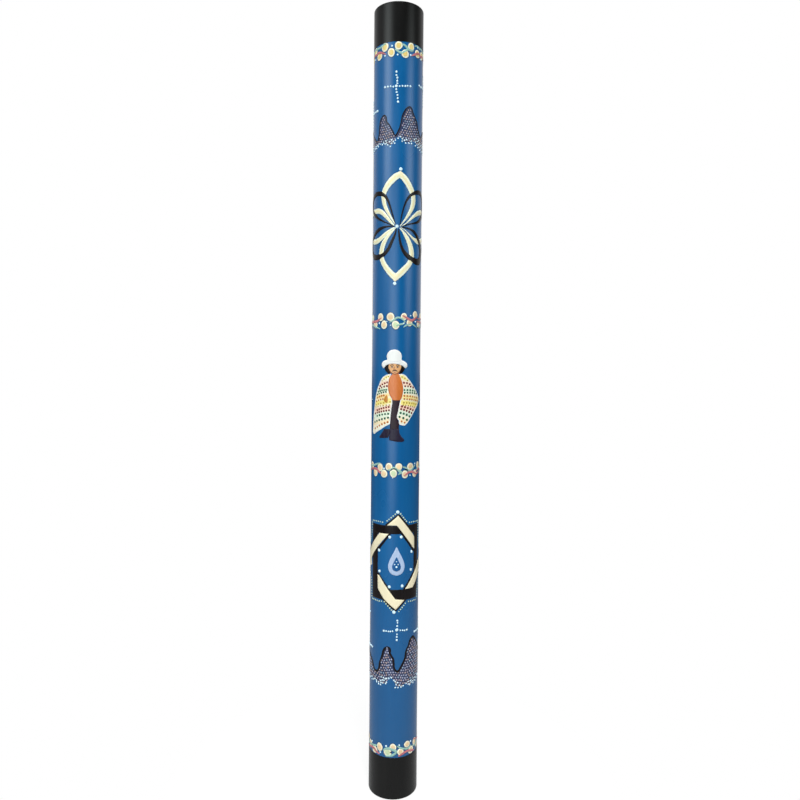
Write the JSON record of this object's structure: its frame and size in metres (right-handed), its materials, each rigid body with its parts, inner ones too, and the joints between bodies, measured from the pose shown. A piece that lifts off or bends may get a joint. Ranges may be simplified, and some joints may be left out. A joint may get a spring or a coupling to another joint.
{
  "type": "rainstick",
  "caption": "Sealed painted pipe rainstick: pebbles trickle past a double spiral of nails when it is turned end over end.",
  "frame": {"origin": "centre of the bottom cap's outer face", "axes": "+Z along the pipe from the bottom cap to the top cap; the painted front faces -Y"},
  "size_m": [0.0636, 0.0636, 1.011],
  "materials": {
    "painted_pipe": "hand-painted blue enamel, satin to gloss, with raised folk-art bands",
    "end_black": "satin black enamel",
    "plug_wood": "raw turned softwood",
    "sealant": "cured silicone sealant",
    "nail_steel": "bright drawn wire, lightly tarnished",
    "pebble_coarse": "water-worn round grit",
    "pebble_medium": "water-worn round grit",
    "pebble_fine": "water-worn round grit"
  },
  "bodies": {
    "stick": {"tube": "painted_pipe", "bottom_cap": "end_black", "top_cap": "end_black", "bottom_plug": "plug_wood", "top_plug": "plug_wood", "bottom_seal": "sealant", "top_seal": "sealant", "bottom_plug_nails": "nail_steel", "top_plug_nails": "nail_steel", "pin_row_01": "nail_steel", "pin_row_02": "nail_steel", "pin_row_03": "nail_steel", "pin_row_04": "nail_steel", "pin_row_05": "nail_steel", "pin_row_06": "nail_steel", "pin_row_07": "nail_steel", "pin_row_08": "nail_steel", "pin_row_09": "nail_steel", "pin_row_10": "nail_steel", "pin_row_11": "nail_steel", "pin_row_12": "nail_steel"},
    "coarse_fill": {"coarse_pebbles": "pebble_coarse"},
    "medium_fill": {"medium_pebbles": "pebble_medium"},
    "fine_fill": {"fine_pebbles": "pebble_fine"}
  },
  "joints": [
    {"name": "coarse_fall", "type": "slide", "parent": "stick", "child": "coarse_fill", "axis": [0, 0, 1], "range_m": [0, 0.9225]},
    {"name": "medium_fall", "type": "slide", "parent": "stick", "child": "medium_fill", "axis": [0, 0, 1], "range_m": [0, 0.926]},
    {"name": "fine_fall", "type": "slide", "parent": "stick", "child": "fine_fill", "axis": [0, 0, 1], "range_m": [0, 0.931]}
  ]
}
